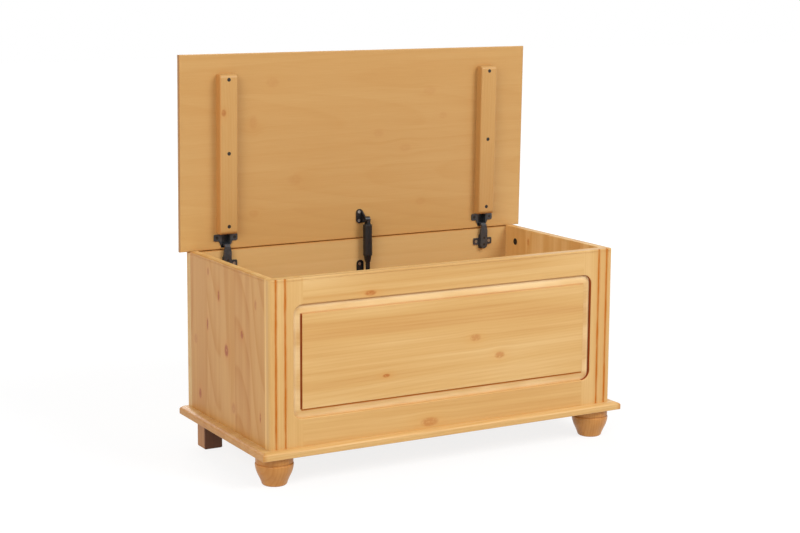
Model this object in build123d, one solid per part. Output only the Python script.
"""Wooden toy box: panelled pine chest with a hinged lid and a gas stay.

Millimetres, +Z up, front facing -Y. The origin is on the floor, in the middle
of the space that the box takes up with its lid open, as it stands at rest.
"""
import math
import os

from build123d import *

# Carcass
CARCASS_W = 800.0
CARCASS_D = 392.0
WALL_H = 331.0
SIDE_T = 18.0
BACK_T = 18.0
FRAME_T = 20.0
RIM_R = 1.5
QUIRK_DROP = 4.0
QUIRK_W = 1.2
QUIRK_DEEP = 0.8
SEAM_CHAMFER = 0.5

# Base and feet
BASE_T = 16.0
BASE_OVER_SIDE = 21.0
BASE_OVER_FRONT = 14.0
BASE_NOSE = (13.0, 6.0)
BASE_BOTTOM_R = 1.5
FOOT_H = 60.0
FOOT_INSET = 46.0
FOOT_COLLAR_R = 37.0
FOOT_COLLAR_H = 14.5
FOOT_ARRIS = 1.0
FOOT_NECK_R = 35.6
FOOT_NECK_H = 1.6
FOOT_BULGE_R = 37.8
FOOT_BULGE_DOWN = 21.0
FOOT_ANKLE_R = 29.4
FOOT_ANKLE_Z = 14.5
FOOT_TOE_R = 25.5
FOOT_TOE_ROUND = 5.0
BLOCK_W = 40.0
BLOCK_INSET_X = 41.0
BLOCK_INSET_Y = 64.0
BLOCK_R = 3.0

# Front frame and its panel
STILE_W = 72.0
STILE_EDGE_R = 6.0
TOP_RAIL_H = 52.0
BOTTOM_RAIL_H = 55.0
OPENING_R = 20.0
OPENING_EDGE_R = 2.0
REED_AT = (14.0, 34.0)
REED_R = 2.2
REED_DEEP = 1.6
TONGUE_T = 6.0
TONGUE_DEEP = 7.0
TONGUE_FRONT = 7.0
GROOVE_FIT = 0.1
GROOVE_SPARE = 1.0
PANEL_BACK = 15.0
PANEL_GAP = 0.3
FIELD_MARGIN = 18.8
FIELD_RECESS = 1.0
FIELD_STEP = 3.5
FIELD_EDGE_R = 0.6
MARGIN_CROWN = 0.55
MARGIN_CROWN_IN = 6.3

# Lid
LID_T = 18.0
LID_OVER_SIDE = 21.0
LID_OVER_FRONT = 14.0
LID_OVER_BACK = 2.0
LID_GAP = 0.5
LID_UNDER_R = 2.0
LID_NOSE = (13.0, 12.0)
LID_REAR_NOSE = (3.0, 3.0)
LID_OPEN_DEG = 89.0
LID_SPARE_DEG = 4.0
SWING_CLEAR = 0.4
BATTEN_W = 40.0
BATTEN_T = 20.0
BATTEN_FROM_FRONT = 41.0
BATTEN_FROM_BACK = 33.5
BATTEN_SIDE_R = 3.0
BATTEN_END_R = 8.0
BATTEN_SCREW_FRONT = 11.0
BATTEN_SCREW_REAR = 17.0

# Cup hinges
HINGE_FROM_END = 82.0
AXIS_FROM_EDGE = 9.0
AXIS_IN_LID = 7.0
CUP_W = 21.0
CUP_L = 28.5
CUP_CORNER_R = 3.0
CUP_WALL = 1.0
CUP_DEPTH = 13.0
CUP_EDGE = 3.5
FLANGE_T = 2.0
FLANGE_W = 54.0
FLANGE_FROM = 17.5
FLANGE_TO = 32.0
FLANGE_TRIM = 9.0
HOOD_W = 31.0
HOOD_TIP_W = 23.5
FLANGE_CORNER_R = 3.0
CUP_SCREW_X = 20.0
PIN_R = 1.5
PIN_FIT = 0.05
KNUCKLE_R = 2.8
KNUCKLE_HALF = 6.0
LUG_GAP = 0.5
ARM_W = 17.0
ARM_STRIP = 4.5
ARM_RUN_HALF = 2.2
ARM_WALL = 1.5
ARM_OUT = 9.5
ARM_BEND_R = 5.0
ARM_FLARE_TOP = 3.0
ARM_FLARE_BOTTOM = 6.0
ARM_SOLID_TO = 14.0
PLATE_DROP = 32.0
PLATE_T = 2.5
PLATE_WING_W = 48.0
PLATE_WING_H = 15.0
PLATE_BODY_W = 19.0
PLATE_TAIL = 16.0
PLATE_NOSE = 16.0
PLATE_CORNER_R = 3.0
PLATE_SCREW_X = 17.0
RAIL_FIT = 0.2
ARM_SCREW_DZ = (-7.0, 8.0)

# Gas stay
STAY_X = 14.0
STAY_UP = 42.0
STAY_OFF_LID = 15.0
STAY_OFF_BACK = 15.0
STAY_DOWN = 130.0
EYE_R = 6.5
EYE_T = 8.0
EYE_NECK_R = 6.2
EYE_NECK_FROM = 10.0
EYE_NECK_TO = 19.0
EYE_SOCKET = 11.0
EYE_COLLAR_R = 7.2
EYE_COLLAR_T = 2.0
OPEN_PIVOT_GAP = 0.5
EAR_T = 3.0
EAR_R = 6.5
EAR_FOOT = 9.5
EAR_BEYOND = 18.0
BRACKET_T = 2.5
BRACKET_W = 16.0
BRACKET_R = 7.5
UPPER_PLATE = (32.5, 63.5)
UPPER_SCREWS = (38.5, 57.5)
LOWER_PLATE = (50.0, 148.0)
LOWER_SCREWS = (58.0, 112.0)
STUD_R = 3.0
STUD_FIT = 0.05
STUD_HEAD_R = 4.6
STUD_HEAD_T = 1.6
ROD_R = 5.0
ROD_FIT = 0.06
BARREL_R = 10.0
BARREL_WALL = 1.5
BARREL_END = 1.5
BARREL_BELOW_EYE = 11.5
GLAND_PLUG = 3.0
GLAND_NOSE = 14.0
GLAND_TIP_R = 6.3
GLAND_ROOT_R = 8.6
PISTON_T = 4.0
PISTON_FIT = 0.08
PISTON_CLEAR = 1.2

# Fasteners
HOLE_FIT = 0.05
HOLE_SPARE = 1.0
CUT_PAST = 1.0
WOOD_SCREW = dict(head_r=4.0, head_h=2.6, shank_r=1.8, length=30.0)
SHORT_SCREW = dict(head_r=3.4, head_h=1.9, shank_r=1.7, length=14.0)
ARM_SCREW = dict(head_r=2.8, head_h=1.2, shank_r=1.6, length=6.5)
BASE_SCREW = dict(head_r=5.0, head_h=3.2, shank_r=2.5, length=52.0)
DRIVE_R = 1.1
DRIVE_DEEP = 0.9
DOWEL_R = 4.0
DOWEL_HALF = 15.0
DOWEL_IN_FACE = 11.0
TOP_DOWEL_IN = 13.0
BOTTOM_DOWEL_IN = 14.5
CARCASS_DOWEL_Z = (90.0, 210.0)
CAM_R = 7.5
CAM_DEEP = 12.5
CAM_SETBACK = 40.0
CAM_Z = (60.0, 298.0)
CAM_SLOT_W = 1.6
CAM_SLOT_DEEP = 1.2
CAM_SLOT_IN = 2.0
CAM_BOLT_R = 3.0
CAM_BOLT_PAST = 3.0
CAM_BOLT_IN = 10.0
FOOT_BOLT_R = 4.0
FOOT_BOLT_DOWN = 26.0
FOOT_BOLT_UP = 11.0
FOOT_BOLT_SPARE = 0.5
BASE_SCREW_FROM_END = 100.0
BASE_SCREW_FROM_MIDDLE = 120.0
BASE_SCREW_FROM_FACE = 101.0

# How near an edge must be to a face to count as lying in it
PICK = 0.1

# Levels and faces that follow from the sizes above
HALF_W = CARCASS_W / 2
HINGE_X = HALF_W - HINGE_FROM_END
BASE_TOP = FOOT_H + BASE_T
RIM_Z = BASE_TOP + WALL_H
LID_PROUD = LID_OVER_BACK + LID_T - AXIS_FROM_EDGE - AXIS_IN_LID
Y_FRONT = BASE_OVER_FRONT - (BASE_OVER_FRONT + CARCASS_D + LID_PROUD) / 2
Y_BACK = Y_FRONT + CARCASS_D
Y_INNER = Y_BACK - BACK_T
Y_FRAME = Y_FRONT + FRAME_T
X_INNER = HALF_W - SIDE_T
RAIL_HALF = HALF_W - STILE_W
OPEN_HALF = RAIL_HALF + OPENING_R
OPEN_BOTTOM = BASE_TOP + BOTTOM_RAIL_H
OPEN_TOP = RIM_Z - TOP_RAIL_H
OPEN_H = OPEN_TOP - OPEN_BOTTOM
OPEN_Z = (OPEN_TOP + OPEN_BOTTOM) / 2
LID_Z = RIM_Z + LID_GAP
LID_REAR = Y_BACK + LID_OVER_BACK
LID_FRONT = Y_FRONT - LID_OVER_FRONT
AXIS_Y = LID_REAR - AXIS_FROM_EDGE
AXIS_Z = LID_Z + AXIS_IN_LID
LID_SWING = math.hypot(AXIS_FROM_EDGE - LID_UNDER_R, AXIS_IN_LID - LID_UNDER_R) + LID_UNDER_R
BACK_TOP = AXIS_Z - LID_SWING - SWING_CLEAR
CUP_Y = LID_REAR - CUP_EDGE - CUP_L / 2
PIN_HALF = CUP_W / 2 - CUP_WALL
PLATE_Z = RIM_Z - PLATE_DROP
BATTEN_UNDER = LID_Z - BATTEN_T
EAR_X = STAY_X - EYE_T / 2 - OPEN_PIVOT_GAP
STAY_Y = Y_INNER - STAY_OFF_BACK
STAY_Z = RIM_Z - STAY_DOWN
BASE_FRONT = Y_FRONT - BASE_OVER_FRONT
LID_AXIS = Axis((0, AXIS_Y, AXIS_Z), (1, 0, 0))


# Plain shapes

def block(x0, x1, y0, y1, z0, z1):
    middle = Pos((x0 + x1) / 2, (y0 + y1) / 2, (z0 + z1) / 2)
    return middle * Box(x1 - x0, y1 - y0, z1 - z0)


def bar_x(radius, x0, x1, y, z):
    return Pos((x0 + x1) / 2, y, z) * Rot(0, 90, 0) * Cylinder(radius, x1 - x0)


def bar_y(radius, x, y0, y1, z):
    return Pos(x, (y0 + y1) / 2, z) * Rot(90, 0, 0) * Cylinder(radius, y1 - y0)


def bar_z(radius, x, y, z0, z1):
    return Pos(x, y, (z0 + z1) / 2) * Cylinder(radius, z1 - z0)


def front_slab(sketch, y0, y1, z=0.0):
    """Sketch seen from the front, made solid from y0 back to y1."""
    plane = Plane(origin=(0, y1, z), x_dir=(1, 0, 0), z_dir=(0, -1, 0))
    return extrude(plane * sketch, amount=y1 - y0)


def group(solids):
    return Compound(children=list(solids))


def flip(shape):
    return mirror(shape, Plane.YZ)


def both_sides(x):
    return (-x, x)


def opened(shape):
    """Lid piece, drawn on the closed box, turned to where it stands at rest."""
    return shape.rotate(LID_AXIS, -LID_OPEN_DEG)


# Fasteners: the head's flat face is at the origin and faces +Z

def screw(head_r, head_h, shank_r, length):
    head = Pos(0, 0, -head_h / 2) * Cone(shank_r, head_r, head_h)
    shank = bar_z(shank_r, 0, 0, -length, -head_h / 2)
    drive = bar_z(DRIVE_R, 0, 0, -DRIVE_DEEP, CUT_PAST)
    return head + shank - drive


def screw_hole(head_r, head_h, shank_r, length):
    head = Pos(0, 0, -head_h / 2) * Cone(shank_r + HOLE_FIT, head_r + HOLE_FIT, head_h)
    shank = bar_z(shank_r + HOLE_FIT, 0, 0, -length - HOLE_SPARE, 0)
    return head + shank


def placed(shape, point, out):
    return Plane(origin=point, z_dir=out).location * shape


def screws_at(kind, points, out):
    return [placed(screw(**kind), p, out) for p in points]


def holes_at(kind, points, out):
    return [placed(screw_hole(**kind), p, out) for p in points]


def cut(shape, tools):
    for tool in tools:
        shape = shape - tool
    return shape


# Where the fasteners go

def side_joint_ends():
    """Each end of a side wall: the face it butts on and the way in."""
    return ((Y_FRAME, 1), (Y_INNER, -1))


def cam_places():
    spots = []
    for side in (-1, 1):
        for face, inward in side_joint_ends():
            for up in CAM_Z:
                spots.append((side, face, inward, BASE_TOP + up))
    return spots


def cam_bolt_run(face, inward):
    inner = face + inward * (CAM_SETBACK + CAM_BOLT_PAST)
    outer = face - inward * CAM_BOLT_IN
    return min(inner, outer), max(inner, outer)


def bolt_x(side):
    return side * (HALF_W - SIDE_T / 2)


def carcass_dowel_run(face, inward):
    inner = face + inward * (2 * DOWEL_HALF - DOWEL_IN_FACE)
    outer = face - inward * DOWEL_IN_FACE
    return min(inner, outer), max(inner, outer)


def carcass_dowel_places():
    spots = []
    for side in (-1, 1):
        for face, inward in side_joint_ends():
            for up in CARCASS_DOWEL_Z:
                spots.append((bolt_x(side), face, inward, BASE_TOP + up))
    return spots


def rail_dowel_places():
    """Side and axis height of each dowel: two for each rail end, in from the rail's edges."""
    top = [OPEN_TOP + TOP_DOWEL_IN, RIM_Z - TOP_DOWEL_IN]
    bottom = [BASE_TOP + BOTTOM_DOWEL_IN, OPEN_BOTTOM - BOTTOM_DOWEL_IN]
    return [(side, z) for side in (-1, 1) for z in top + bottom]


def rail_dowel_y():
    return Y_FRONT + TONGUE_FRONT + TONGUE_T / 2


def base_screw_points():
    spots = []
    for x in (BASE_SCREW_FROM_MIDDLE, HALF_W - BASE_SCREW_FROM_END):
        for sx in both_sides(x):
            spots.append((sx, Y_FRONT + FRAME_T / 2, FOOT_H))
            spots.append((sx, Y_BACK - BACK_T / 2, FOOT_H))
    for y in (Y_FRONT + BASE_SCREW_FROM_FACE, Y_BACK - BASE_SCREW_FROM_FACE):
        for side in (-1, 1):
            spots.append((bolt_x(side), y, FOOT_H))
    return spots


def foot_centres():
    front_x = HALF_W + BASE_OVER_SIDE - FOOT_INSET
    rear_x = HALF_W + BASE_OVER_SIDE - BLOCK_INSET_X
    front_y = BASE_FRONT + FOOT_INSET
    rear_y = Y_BACK - BLOCK_INSET_Y
    return [(-front_x, front_y), (front_x, front_y), (-rear_x, rear_y), (rear_x, rear_y)]


def foot_bolt(x, y):
    return bar_z(FOOT_BOLT_R, x, y, FOOT_H - FOOT_BOLT_DOWN, FOOT_H + FOOT_BOLT_UP)


def foot_bolt_hole(x, y):
    low = FOOT_H - FOOT_BOLT_DOWN - FOOT_BOLT_SPARE
    high = FOOT_H + FOOT_BOLT_UP + FOOT_BOLT_SPARE
    return bar_z(FOOT_BOLT_R + HOLE_FIT, x, y, low, high)


def batten_screw_points():
    front = LID_FRONT + BATTEN_FROM_FRONT + BATTEN_SCREW_FRONT
    rear = LID_REAR - BATTEN_FROM_BACK - BATTEN_SCREW_REAR
    places = (front, (front + rear) / 2, rear)
    return [(x, y, BATTEN_UNDER) for x in both_sides(HINGE_X) for y in places]


def cup_screw_points():
    y = LID_REAR - (FLANGE_FROM + FLANGE_TO) / 2
    z = LID_Z - FLANGE_T
    return [(x + dx, y, z) for x in both_sides(HINGE_X) for dx in both_sides(CUP_SCREW_X)]


def plate_screw_points():
    y = Y_INNER - PLATE_T
    return [(x + dx, y, PLATE_Z) for x in both_sides(HINGE_X) for dx in both_sides(PLATE_SCREW_X)]


def arm_screw_points():
    y = Y_INNER - ARM_OUT
    return [(x, y, PLATE_Z + dz) for x in both_sides(HINGE_X) for dz in ARM_SCREW_DZ]


def bracket_middle_x():
    return EAR_X - BRACKET_W / 2 - EAR_T / 2


def upper_screw_points():
    z = LID_Z - BRACKET_T
    return [(bracket_middle_x(), LID_REAR - s, z) for s in UPPER_SCREWS]


def lower_screw_points():
    y = Y_INNER - BRACKET_T
    return [(bracket_middle_x(), y, RIM_Z - d) for d in LOWER_SCREWS]


# Carcass

def cam_housing(side, face, inward, z, fit=0.0):
    y = face + inward * CAM_SETBACK
    x0 = side * (X_INNER - fit)
    x1 = side * (X_INNER + CAM_DEEP + fit)
    return bar_x(CAM_R + fit, min(x0, x1), max(x0, x1), y, z)


def cam_bolt(side, face, inward, z, fit=0.0):
    y0, y1 = cam_bolt_run(face, inward)
    return bar_y(CAM_BOLT_R + fit, bolt_x(side), y0 - fit, y1 + fit, z)


def cam_housings():
    made = []
    for side, face, inward, z in cam_places():
        y = face + inward * CAM_SETBACK
        cam = cam_housing(side, face, inward, z)
        cam = cam - cam_bolt(side, face, inward, z, HOLE_FIT)
        tip = side * (X_INNER + CAM_SLOT_DEEP)
        start = side * (X_INNER - CUT_PAST)
        lo, hi = min(tip, start), max(tip, start)
        reach = CAM_R - CAM_SLOT_IN
        thin = CAM_SLOT_W / 2
        cam = cam - block(lo, hi, y - thin, y + thin, z - reach, z + reach)
        cam = cam - block(lo, hi, y - reach, y + reach, z - thin, z + thin)
        made.append(cam)
    return group(made)


def cam_bolts():
    return group(cam_bolt(*spot) for spot in cam_places())


def carcass_dowel(x, face, inward, z, fit=0.0):
    y0, y1 = carcass_dowel_run(face, inward)
    return bar_y(DOWEL_R + fit, x, y0 - fit, y1 + fit, z)


def carcass_dowels():
    return group(carcass_dowel(*spot) for spot in carcass_dowel_places())


def rail_dowel(side, z, fit=0.0):
    middle = side * RAIL_HALF
    reach = DOWEL_HALF + fit
    return bar_x(DOWEL_R + fit, middle - reach, middle + reach, rail_dowel_y(), z)


def rail_dowels():
    return group(rail_dowel(side, z) for side, z in rail_dowel_places())


def wall_holes():
    """Everything that is bored into the walls of the carcass."""
    tools = [cam_bolt(*spot, fit=HOLE_FIT) for spot in cam_places()]
    tools += [carcass_dowel(*spot, fit=HOLE_FIT) for spot in carcass_dowel_places()]
    tools += holes_at(BASE_SCREW, base_screw_points(), (0, 0, -1))
    return tools


def near(shape, tools):
    """The tools whose boxes reach the shape's box."""
    a = shape.bounding_box()
    found = []
    for tool in tools:
        b = tool.bounding_box()
        apart = (b.min.X > a.max.X or b.max.X < a.min.X or b.min.Y > a.max.Y
                 or b.max.Y < a.min.Y or b.min.Z > a.max.Z or b.max.Z < a.min.Z)
        if not apart:
            found.append(tool)
    return found


def moulding(edge, way, low, high, nose, arris):
    """Edge of a board seen end on, from the top face down: part of an oval, then a small round."""
    run, drop = nose
    inner = edge - way * run
    shoulder = high - drop
    oval = EllipticalCenterArc((inner, shoulder), run, drop, arc_size=90)
    if way < 0:
        oval = mirror(oval, Plane(origin=(inner, 0, 0), z_dir=(1, 0, 0)))
    dip = arris * (1 - math.cos(math.radians(45)))
    turn = ThreePointArc((edge, low + arris), (edge - way * dip, low + dip), (edge - way * arris, low))
    return oval + Line((edge, shoulder), (edge, low + arris)) + turn


def board_across(half, low, high, nose, arris):
    """Section of a board from side to side, moulded at both ends."""
    top = Line((-half + nose[0], high), (half - nose[0], high))
    under = Line((-half + arris, low), (half - arris, low))
    left = moulding(-half, -1, low, high, nose, arris)
    return make_face(left + top + moulding(half, 1, low, high, nose, arris) + under)


def mitred_board(half, y0, y1, across, along):
    """Board whose edges follow both sections and meet in mitres at its corners."""
    return front_slab(across, y0, y1) & extrude(Plane.YZ * along, amount=half + CUT_PAST, both=True)


def base_board():
    half = HALF_W + BASE_OVER_SIDE
    across = board_across(half, FOOT_H, BASE_TOP, BASE_NOSE, BASE_BOTTOM_R)
    rear = Polyline((BASE_FRONT + BASE_NOSE[0], BASE_TOP), (Y_BACK, BASE_TOP), (Y_BACK, FOOT_H),
                    (BASE_FRONT + BASE_BOTTOM_R, FOOT_H))
    along = make_face(moulding(BASE_FRONT, -1, FOOT_H, BASE_TOP, BASE_NOSE, BASE_BOTTOM_R) + rear)
    board = mitred_board(half, BASE_FRONT, Y_BACK, across, along)
    board = cut(board, holes_at(BASE_SCREW, base_screw_points(), (0, 0, -1)))
    return cut(board, [foot_bolt_hole(x, y) for x, y in foot_centres()])


def right_side_panel():
    wall = block(X_INNER, HALF_W, Y_FRAME, Y_INNER, BASE_TOP, RIM_Z)
    rim = wall.faces().sort_by(Axis.Z)[-1].edges().filter_by(Axis.Y)
    wall = fillet(rim, RIM_R)
    seam = wall.edges().filter_by(Axis.Z).filter_by(lambda e: e.center().X > HALF_W - PICK)
    wall = chamfer(seam, SEAM_CHAMFER)
    z = RIM_Z - QUIRK_DROP
    wall = wall - block(HALF_W - QUIRK_DEEP, HALF_W + CUT_PAST, Y_FRAME - CUT_PAST, Y_INNER + CUT_PAST,
                        z - QUIRK_W, z)
    cams = [cam_housing(*spot, fit=HOLE_FIT) for spot in cam_places() if spot[0] > 0]
    return cut(wall, cams + near(wall, wall_holes()))


def back_panel():
    wall = block(-HALF_W, HALF_W, Y_INNER, Y_BACK, BASE_TOP, BACK_TOP)
    wall = chamfer(wall.edges().filter_by(Axis.Z), SEAM_CHAMFER)
    wall = cut(wall, near(wall, wall_holes()))
    wall = cut(wall, holes_at(SHORT_SCREW, plate_screw_points(), (0, -1, 0)))
    return cut(wall, holes_at(SHORT_SCREW, lower_screw_points(), (0, -1, 0)))


def frame_opening(grow, y0, y1):
    sketch = RectangleRounded(2 * (OPEN_HALF + grow), OPEN_H + 2 * grow, OPENING_R + grow)
    return front_slab(sketch, y0, y1, OPEN_Z)


def panel_groove():
    y0 = Y_FRONT + TONGUE_FRONT - GROOVE_FIT
    y1 = Y_FRONT + TONGUE_FRONT + TONGUE_T + GROOVE_FIT
    return frame_opening(TONGUE_DEEP + GROOVE_SPARE, y0, y1)


def right_stile():
    post = block(RAIL_HALF, HALF_W, Y_FRONT, Y_FRAME, BASE_TOP, RIM_Z)
    outer = post.edges().filter_by(Axis.Z).sort_by(lambda e: e.center().X - e.center().Y)[-1]
    post = fillet(outer, STILE_EDGE_R)
    rim = [e for e in post.faces().sort_by(Axis.Z)[-1].edges()
           if e.center().X > RAIL_HALF + PICK and e.center().Y < Y_FRAME - PICK]
    post = fillet(rim, RIM_R)
    post = post - frame_opening(0, Y_FRONT - CUT_PAST, Y_FRAME + CUT_PAST)
    lip = [e for e in post.edges() if abs(e.center().Y - Y_FRONT) < PICK
           and RAIL_HALF + PICK < e.center().X < OPEN_HALF + PICK
           and OPEN_BOTTOM - PICK < e.center().Z < OPEN_TOP + PICK]
    post = fillet(lip, OPENING_EDGE_R)
    post = post - panel_groove()
    for inset in REED_AT:
        centre = Y_FRONT + REED_DEEP - REED_R
        post = post - bar_z(REED_R, HALF_W - inset, centre, BASE_TOP - CUT_PAST, RIM_Z + CUT_PAST)
    z = RIM_Z - QUIRK_DROP
    post = post - block(RAIL_HALF - CUT_PAST, HALF_W + CUT_PAST, Y_FRONT - CUT_PAST, Y_FRONT + QUIRK_DEEP,
                        z - QUIRK_W, z)
    post = cut(post, near(post, wall_holes()))
    return cut(post, [rail_dowel(s, z, HOLE_FIT) for s, z in rail_dowel_places() if s > 0])


def rail(z0, z1, lip_z):
    beam = block(-RAIL_HALF, RAIL_HALF, Y_FRONT, Y_FRAME, z0, z1)
    lip = [e for e in beam.edges().filter_by(Axis.X)
           if abs(e.center().Z - lip_z) < PICK and e.center().Y < Y_FRONT + PICK]
    beam = fillet(lip, OPENING_EDGE_R)
    beam = beam - panel_groove()
    beam = cut(beam, near(beam, [rail_dowel(s, z, HOLE_FIT) for s, z in rail_dowel_places()]))
    return cut(beam, near(beam, wall_holes()))


def front_top_rail():
    beam = rail(OPEN_TOP, RIM_Z, OPEN_TOP)
    beam = fillet(beam.faces().sort_by(Axis.Z)[-1].edges().filter_by(Axis.X), RIM_R)
    z = RIM_Z - QUIRK_DROP
    return beam - block(-HALF_W, HALF_W, Y_FRONT - CUT_PAST, Y_FRONT + QUIRK_DEEP, z - QUIRK_W, z)


def front_bottom_rail():
    return rail(BASE_TOP, OPEN_BOTTOM, OPEN_BOTTOM)


def panel_section(inset, depth):
    """Outline of the panel, drawn in from the opening, at a depth behind the frame's face."""
    plane = Plane(origin=(0, Y_FRONT + depth, OPEN_Z), x_dir=(1, 0, 0), z_dir=(0, -1, 0))
    return plane * RectangleRounded(2 * (OPEN_HALF - inset), OPEN_H - 2 * inset, OPENING_R - inset)


def front_panel():
    tongue_back = TONGUE_FRONT + TONGUE_T
    step_foot = FIELD_RECESS + FIELD_STEP
    crown = TONGUE_FRONT + (step_foot - TONGUE_FRONT) * MARGIN_CROWN
    tongue = frame_opening(TONGUE_DEEP, Y_FRONT + TONGUE_FRONT, Y_FRONT + tongue_back)
    back = frame_opening(-PANEL_GAP, Y_FRONT + tongue_back, Y_FRONT + PANEL_BACK)
    margin = loft([panel_section(PANEL_GAP, TONGUE_FRONT), panel_section(MARGIN_CROWN_IN, crown),
                   panel_section(FIELD_MARGIN, step_foot)])
    field = extrude(panel_section(FIELD_MARGIN, step_foot), amount=FIELD_STEP)
    field = fillet(field.faces().sort_by(Axis.Y)[0].edges(), FIELD_EDGE_R)
    return tongue + back + margin + field


# Feet

def bun_foot(x, y):
    """Turned on a lathe: collar, a small groove, then a bulge that runs in to the toe."""
    collar = FOOT_H - FOOT_COLLAR_H
    neck = collar - FOOT_NECK_H
    bulge = FOOT_H - FOOT_BULGE_DOWN
    top = [(0, 0, FOOT_H), (FOOT_COLLAR_R - FOOT_ARRIS, 0, FOOT_H), (FOOT_COLLAR_R, 0, FOOT_H - FOOT_ARRIS),
           (FOOT_COLLAR_R, 0, collar + FOOT_ARRIS), (FOOT_NECK_R, 0, collar), (FOOT_NECK_R, 0, neck)]
    ankle = (FOOT_ANKLE_R, 0, FOOT_ANKLE_Z)
    tip = (FOOT_TOE_R, 0, FOOT_TOE_ROUND)
    outward = (1, 0, 0)
    inward = (FOOT_TOE_R - FOOT_ANKLE_R, 0, FOOT_TOE_ROUND - FOOT_ANKLE_Z)
    side = Spline((FOOT_NECK_R, 0, neck), (FOOT_BULGE_R, 0, bulge), ankle, tip, tangents=[outward, inward])
    dip = FOOT_TOE_ROUND * (1 - math.cos(math.radians(45)))
    sole = (FOOT_TOE_R - FOOT_TOE_ROUND, 0, 0)
    toe = ThreePointArc(tip, (FOOT_TOE_R - dip, 0, dip), sole)
    outline = make_face(Polyline(*top) + side + toe + Polyline(sole, (0, 0, 0), (0, 0, FOOT_H)))
    return Pos(x, y, 0) * revolve(outline, Axis.Z) - foot_bolt_hole(x, y)


def block_foot(x, y):
    half = BLOCK_W / 2
    foot = block(x - half, x + half, y - half, y + half, 0, FOOT_H)
    foot = fillet(foot.edges().filter_by(Axis.Z), BLOCK_R)
    foot = chamfer(foot.faces().sort_by(Axis.Z)[0].edges(), BLOCK_R / 2)
    return foot - foot_bolt_hole(x, y)


# Lid, drawn closed

def lid_board():
    half = HALF_W + LID_OVER_SIDE
    top = LID_Z + LID_T
    front = moulding(LID_FRONT, -1, LID_Z, top, LID_NOSE, LID_UNDER_R)
    rear = moulding(LID_REAR, 1, LID_Z, top, LID_REAR_NOSE, LID_UNDER_R)
    over = Line((LID_FRONT + LID_NOSE[0], top), (LID_REAR - LID_REAR_NOSE[0], top))
    under = Line((LID_FRONT + LID_UNDER_R, LID_Z), (LID_REAR - LID_UNDER_R, LID_Z))
    across = board_across(half, LID_Z, top, LID_NOSE, LID_UNDER_R)
    board = mitred_board(half, LID_FRONT, LID_REAR, across, make_face(front + over + rear + under))
    for x in both_sides(HINGE_X):
        board = board - Pos(x, 0, 0) * pocket(-HOLE_FIT, LID_Z - CUT_PAST, LID_Z + CUP_DEPTH)
    board = cut(board, holes_at(WOOD_SCREW, batten_screw_points(), (0, 0, -1)))
    board = cut(board, holes_at(SHORT_SCREW, cup_screw_points(), (0, 0, -1)))
    return cut(board, holes_at(SHORT_SCREW, upper_screw_points(), (0, 0, -1)))


def right_batten():
    half = BATTEN_W / 2
    y0 = LID_FRONT + BATTEN_FROM_FRONT
    y1 = LID_REAR - BATTEN_FROM_BACK
    strip = block(HINGE_X - half, HINGE_X + half, y0, y1, BATTEN_UNDER, LID_Z)
    face = strip.faces().sort_by(Axis.Z)[0]
    strip = fillet(face.edges().filter_by(Axis.X), BATTEN_END_R)
    face = strip.faces().sort_by(Axis.Z)[0]
    strip = fillet(face.edges().filter_by(Axis.Y), BATTEN_SIDE_R)
    return cut(strip, [h for h in holes_at(WOOD_SCREW, batten_screw_points(), (0, 0, -1))
                       if h.center().X > 0])


def pocket_outline(inset):
    shape = RectangleRounded(CUP_W - 2 * inset, CUP_L - 2 * inset, CUP_CORNER_R - inset)
    return Pos(0, CUP_Y) * shape


def pocket(inset, z0, z1):
    """Oblong cup shape, drawn in from the cup's outside, about the hinge's own centre line."""
    return Pos(0, 0, z0) * extrude(pocket_outline(inset), amount=z1 - z0)


def flange_outline():
    """Flange seen from below: a bar with a hood that runs down round the mouth of the cup."""
    middle = LID_REAR - (FLANGE_FROM + FLANGE_TO) / 2
    wings = Pos(0, middle) * RectangleRounded(FLANGE_W, FLANGE_TO - FLANGE_FROM, FLANGE_CORNER_R)
    tip = LID_REAR - FLANGE_TRIM
    root = LID_REAR - FLANGE_FROM
    hood = make_face(Polyline((-HOOD_W / 2, middle), (-HOOD_W / 2, root), (-HOOD_TIP_W / 2, tip),
                              (HOOD_TIP_W / 2, tip), (HOOD_W / 2, root), (HOOD_W / 2, middle), close=True))
    return wings + hood - pocket_outline(CUP_WALL)


def pin_lugs():
    floor = LID_Z + CUP_DEPTH - CUP_WALL / 2
    x0 = KNUCKLE_HALF + LUG_GAP
    x1 = CUP_W / 2 - CUP_WALL / 2
    lug = block(x0, x1, AXIS_Y - KNUCKLE_R, AXIS_Y + KNUCKLE_R, AXIS_Z, floor)
    lug = lug + bar_x(KNUCKLE_R, x0, x1, AXIS_Y, AXIS_Z)
    return lug + flip(lug)


def hinge_cup():
    shell = pocket(0, LID_Z, LID_Z + CUP_DEPTH)
    inner = pocket(CUP_WALL, LID_Z - CUT_PAST, LID_Z + CUP_DEPTH - CUP_WALL)
    flange = Pos(0, 0, LID_Z - FLANGE_T) * extrude(flange_outline(), amount=FLANGE_T)
    cup = shell - inner + pin_lugs() + flange - hinge_pin(PIN_FIT)
    return cut(cup, [Pos(-HINGE_X, 0, 0) * h for h in holes_at(SHORT_SCREW, cup_screw_points(), (0, 0, -1))
                     if h.center().X > 0])


def hinge_pin(fit=0.0):
    return bar_x(PIN_R + fit, -PIN_HALF - fit, PIN_HALF + fit, AXIS_Y, AXIS_Z)


# Hinge pieces on the carcass

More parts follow.
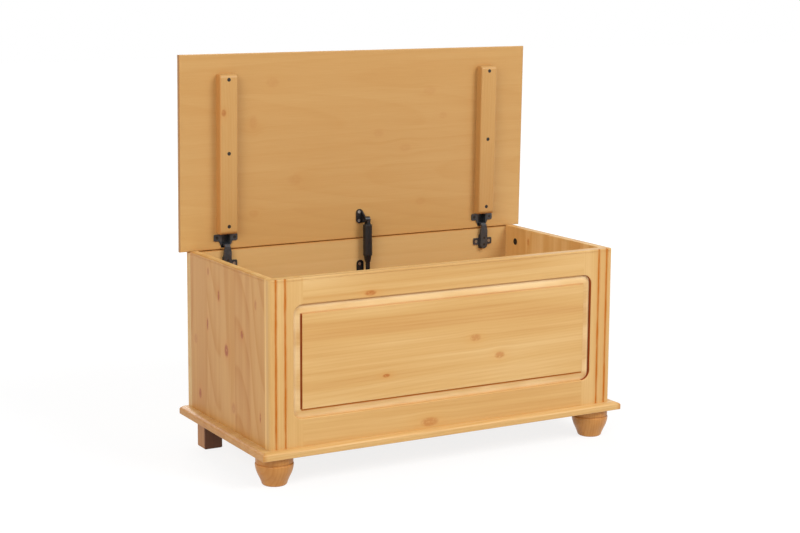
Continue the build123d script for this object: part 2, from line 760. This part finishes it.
def arm_side():
    """Arm seen from the side: channel, strip and the run back to the pin."""
    out = Y_INNER - ARM_OUT
    strip = out + ARM_STRIP
    top = AXIS_Z + ARM_RUN_HALF
    low = AXIS_Z - ARM_RUN_HALF
    back = Y_INNER - PLATE_T
    solid_z = RIM_Z - ARM_SOLID_TO
    tail = PLATE_Z - PLATE_TAIL
    points = [(back, tail), (back, solid_z), (strip, solid_z + ARM_BEND_R), (strip, low - ARM_BEND_R / 2),
              (strip + ARM_BEND_R / 2, low), (AXIS_Y, low), (AXIS_Y, top), (out + ARM_BEND_R, top),
              (out, top - ARM_BEND_R), (out, tail)]
    return make_face(Polyline(*points, close=True))


def arm_front():
    """Arm seen from the front: narrow in the cup, flaring to the channel, round tail."""
    half = ARM_W / 2
    flare_top = RIM_Z + ARM_FLARE_TOP
    flare_low = RIM_Z - ARM_FLARE_BOTTOM
    tail = PLATE_Z - PLATE_TAIL
    top = AXIS_Z + 2 * KNUCKLE_R
    points = [(-half, tail + half), (-half, flare_low), (-KNUCKLE_HALF, flare_top), (-KNUCKLE_HALF, top),
              (KNUCKLE_HALF, top), (KNUCKLE_HALF, flare_top), (half, flare_low), (half, tail + half)]
    return make_face(Polyline(*points, close=True)) + Pos(0, tail + half) * Circle(half)


def hinge_arm():
    arm = extrude(Plane.YZ * arm_side(), amount=ARM_W / 2, both=True)
    arm = arm & front_slab(arm_front(), Y_INNER - 2 * ARM_OUT, Y_BACK + BACK_T)
    arm = arm + bar_x(KNUCKLE_R, -KNUCKLE_HALF, KNUCKLE_HALF, AXIS_Y, AXIS_Z)
    channel = ARM_W / 2 - ARM_WALL
    roof = Y_INNER - ARM_OUT + ARM_WALL
    top = RIM_Z - ARM_SOLID_TO - ARM_WALL
    arm = arm - block(-channel, channel, roof, Y_INNER, PLATE_Z - PLATE_TAIL - CUT_PAST, top)
    arm = arm - hinge_pin(PIN_FIT)
    return cut(arm, arm_screw_holes())


def arm_screw_holes():
    spots = [(0, y, z) for x, y, z in arm_screw_points() if x > 0]
    return holes_at(ARM_SCREW, spots, (0, -1, 0))


def hinge_plate():
    wings = RectangleRounded(PLATE_WING_W, PLATE_WING_H, PLATE_CORNER_R)
    low = PLATE_TAIL
    high = PLATE_NOSE
    body = Pos(0, (high - low) / 2) * RectangleRounded(PLATE_BODY_W, high + low, PLATE_CORNER_R)
    plate = front_slab(wings + body, Y_INNER - PLATE_T, Y_INNER, PLATE_Z)
    half = ARM_W / 2 - ARM_WALL - RAIL_FIT
    roof = Y_INNER - ARM_OUT + ARM_WALL
    ridge = block(-half, half, roof, Y_INNER - PLATE_T, PLATE_Z - low + PLATE_CORNER_R,
                  PLATE_Z + high - PLATE_CORNER_R)
    plate = plate + ridge
    plate = cut(plate, arm_screw_holes())
    return cut(plate, [Pos(-HINGE_X, 0, 0) * h
                       for h in holes_at(SHORT_SCREW, plate_screw_points(), (0, -1, 0)) if h.center().X > 0])


# Gas stay

def stay_upper_point():
    """Upper pivot with the lid open: side view place of the eye on the lid."""
    y = LID_REAR - STAY_UP - AXIS_Y
    z = LID_Z - STAY_OFF_LID - AXIS_Z
    turn = math.radians(-LID_OPEN_DEG)
    return (AXIS_Y + y * math.cos(turn) - z * math.sin(turn),
            AXIS_Z + y * math.sin(turn) + z * math.cos(turn))


def stay_length_open():
    y, z = stay_upper_point()
    return math.hypot(y - STAY_Y, z - STAY_Z)


def stay_length_closed():
    return math.hypot(LID_REAR - STAY_UP - STAY_Y, LID_Z - STAY_OFF_LID - STAY_Z)


def stay_lean():
    """Turn about +X that lays the upright stay along its two pivots."""
    y, z = stay_upper_point()
    return -math.degrees(math.atan2(y - STAY_Y, z - STAY_Z))


def on_stay(shape):
    return Pos(STAY_X, STAY_Y, STAY_Z) * Rot(stay_lean(), 0, 0) * shape


STAY_LEN = stay_length_open()
STAY_STROKE = STAY_LEN - stay_length_closed()
STAY_SPARE = STAY_STROKE * LID_SPARE_DEG / LID_OPEN_DEG
BARREL_LEN = (BARREL_END + PISTON_CLEAR + STAY_STROKE + PISTON_T + STAY_SPARE + PISTON_CLEAR + GLAND_PLUG)
BARREL_TOP = STAY_LEN - BARREL_BELOW_EYE
BARREL_BOTTOM = BARREL_TOP - BARREL_LEN
PISTON_LOW = BARREL_BOTTOM + GLAND_PLUG + PISTON_CLEAR + STAY_SPARE


def eye(z, neck_z):
    """Flat eye with a web of its own thickness that runs to the neck."""
    disc = bar_x(EYE_R, -EYE_T / 2, EYE_T / 2, 0, z)
    web = block(-EYE_T / 2, EYE_T / 2, -EYE_NECK_R, EYE_NECK_R, min(z, neck_z), max(z, neck_z))
    return disc + web


def stay_rod():
    return on_stay(bar_z(ROD_R, 0, 0, EYE_SOCKET, PISTON_LOW + PISTON_T))


def stay_rod_eye():
    neck = bar_z(EYE_NECK_R, 0, 0, EYE_NECK_FROM, EYE_NECK_TO)
    made = eye(0, EYE_NECK_FROM) + neck - bar_z(ROD_R + HOLE_FIT, 0, 0, EYE_SOCKET, EYE_NECK_TO + CUT_PAST)
    return on_stay(made - bar_x(STUD_R + STUD_FIT, -EYE_T, EYE_T, 0, 0))


def stay_piston():
    disc = bar_z(BARREL_R - BARREL_WALL - PISTON_FIT, 0, 0, PISTON_LOW, PISTON_LOW + PISTON_T)
    return on_stay(disc - bar_z(ROD_R + HOLE_FIT, 0, 0, 0, STAY_LEN))


def stay_cylinder():
    tube = bar_z(BARREL_R, 0, 0, BARREL_BOTTOM, BARREL_TOP)
    rims = tube.edges().filter_by(GeomType.CIRCLE)
    tube = fillet(rims, BARREL_WALL / 2)
    hollow = bar_z(BARREL_R - BARREL_WALL, 0, 0, BARREL_BOTTOM - CUT_PAST, BARREL_TOP - BARREL_END)
    return on_stay(tube - hollow)


def stay_gland():
    plug = bar_z(BARREL_R - BARREL_WALL - HOLE_FIT, 0, 0, BARREL_BOTTOM, BARREL_BOTTOM + GLAND_PLUG)
    nose = Pos(0, 0, BARREL_BOTTOM - GLAND_NOSE / 2) * Cone(GLAND_TIP_R, GLAND_ROOT_R, GLAND_NOSE)
    return on_stay(plug + nose - bar_z(ROD_R + ROD_FIT, 0, 0, 0, STAY_LEN))


def stay_cylinder_eye():
    collar = bar_z(EYE_COLLAR_R, 0, 0, BARREL_TOP, BARREL_TOP + EYE_COLLAR_T)
    return on_stay(eye(STAY_LEN, BARREL_TOP) + collar)


def ear_side(middle, height, beyond):
    """Ear of a bracket: foot on the plate at height 0, round about the pivot."""
    foot = make_face(Polyline((middle - EAR_FOOT, 0), (middle + beyond, 0), (middle + EAR_R, height),
                              (middle - EAR_R, height), close=True))
    return foot + Pos(middle, height) * Circle(EAR_R)


def bracket_plate(span):
    x1 = EAR_X
    x0 = x1 - BRACKET_W
    length = span[1] - span[0]
    return Pos((x0 + x1) / 2, (span[0] + span[1]) / 2) * RectangleRounded(BRACKET_W, length, BRACKET_R)


def stay_upper_bracket():
    """Drawn closed: plate under the lid, ear hanging down to the pivot."""
    face = Plane(origin=(0, LID_REAR, LID_Z), x_dir=(1, 0, 0), z_dir=(0, 0, -1))
    plate = extrude(face * bracket_plate(UPPER_PLATE), amount=BRACKET_T)
    side = Plane(origin=(EAR_X - EAR_T, LID_REAR, LID_Z), x_dir=(0, -1, 0), z_dir=(1, 0, 0))
    ear = extrude(side * ear_side(STAY_UP, STAY_OFF_LID, EAR_BEYOND), amount=EAR_T)
    whole = plate + ear
    return cut(whole, holes_at(SHORT_SCREW, upper_screw_points(), (0, 0, -1)))


def stay_lower_bracket():
    face = Plane(origin=(0, Y_INNER, RIM_Z), x_dir=(-1, 0, 0), z_dir=(0, -1, 0))
    mirrored = Pos(-2 * EAR_X + BRACKET_W, 0) * bracket_plate(LOWER_PLATE)
    plate = extrude(face * mirrored, amount=BRACKET_T)
    side = Plane(origin=(EAR_X - EAR_T, Y_INNER, RIM_Z), x_dir=(0, 0, -1), z_dir=(1, 0, 0))
    ear = extrude(side * ear_side(STAY_DOWN, -STAY_OFF_BACK, EAR_FOOT), amount=EAR_T)
    whole = plate + ear - bar_x(STUD_R + HOLE_FIT, 0, 2 * STAY_X, STAY_Y, STAY_Z)
    return cut(whole, holes_at(SHORT_SCREW, lower_screw_points(), (0, -1, 0)))


def stay_lower_stud():
    left = EAR_X - EAR_T
    right = STAY_X + EYE_T / 2 + OPEN_PIVOT_GAP
    stud = bar_x(STUD_R, left - STUD_HEAD_T, right + STUD_HEAD_T, STAY_Y, STAY_Z)
    heads = bar_x(STUD_HEAD_R, left - STUD_HEAD_T, left, STAY_Y, STAY_Z)
    return stud + heads + bar_x(STUD_HEAD_R, right, right + STUD_HEAD_T, STAY_Y, STAY_Z)


# All pieces by name

def carcass_pieces():
    feet = foot_centres()
    return {
        "base_board": base_board(),
        "right_side_panel": right_side_panel(),
        "left_side_panel": flip(right_side_panel()),
        "back_panel": back_panel(),
        "front_right_stile": right_stile(),
        "front_left_stile": flip(right_stile()),
        "front_top_rail": front_top_rail(),
        "front_bottom_rail": front_bottom_rail(),
        "front_panel": front_panel(),
        "front_left_foot": bun_foot(*feet[0]),
        "front_right_foot": bun_foot(*feet[1]),
        "rear_left_foot": block_foot(*feet[2]),
        "rear_right_foot": block_foot(*feet[3]),
        "foot_bolts": group(foot_bolt(x, y) for x, y in feet),
        "rail_dowels": rail_dowels(),
        "carcass_dowels": carcass_dowels(),
        "base_screws": group(screws_at(BASE_SCREW, base_screw_points(), (0, 0, -1))),
        "cam_housings": cam_housings(),
        "cam_bolts": cam_bolts(),
    }


def hinge_pieces():
    return {
        "left_hinge_plate": Pos(-HINGE_X, 0, 0) * hinge_plate(),
        "right_hinge_plate": Pos(HINGE_X, 0, 0) * hinge_plate(),
        "left_hinge_arm": Pos(-HINGE_X, 0, 0) * hinge_arm(),
        "right_hinge_arm": Pos(HINGE_X, 0, 0) * hinge_arm(),
        "hinge_plate_screws": group(screws_at(SHORT_SCREW, plate_screw_points(), (0, -1, 0))),
        "hinge_arm_screws": group(screws_at(ARM_SCREW, arm_screw_points(), (0, -1, 0))),
    }


def lid_pieces():
    closed = {
        "lid_board": lid_board(),
        "right_batten": right_batten(),
        "left_batten": flip(right_batten()),
        "batten_screws": group(screws_at(WOOD_SCREW, batten_screw_points(), (0, 0, -1))),
        "left_hinge_cup": Pos(-HINGE_X, 0, 0) * hinge_cup(),
        "right_hinge_cup": Pos(HINGE_X, 0, 0) * hinge_cup(),
        "hinge_pins": group(Pos(x, 0, 0) * hinge_pin() for x in both_sides(HINGE_X)),
        "hinge_cup_screws": group(screws_at(SHORT_SCREW, cup_screw_points(), (0, 0, -1))),
        "stay_upper_bracket": stay_upper_bracket(),
        "stay_upper_screws": group(screws_at(SHORT_SCREW, upper_screw_points(), (0, 0, -1))),
    }
    return {name: opened(shape) for name, shape in closed.items()}


def stay_pieces():
    return {
        "stay_lower_bracket": stay_lower_bracket(),
        "stay_lower_stud": stay_lower_stud(),
        "stay_lower_screws": group(screws_at(SHORT_SCREW, lower_screw_points(), (0, -1, 0))),
        "stay_rod": stay_rod(),
        "stay_rod_eye": stay_rod_eye(),
        "stay_piston": stay_piston(),
        "stay_cylinder": stay_cylinder(),
        "stay_gland": stay_gland(),
        "stay_cylinder_eye": stay_cylinder_eye(),
    }


def main():
    os.makedirs("parts", exist_ok=True)
    for pieces in (carcass_pieces(), hinge_pieces(), lid_pieces(), stay_pieces()):
        for name, shape in pieces.items():
            export_step(shape, f"parts/{name}.step")


main()
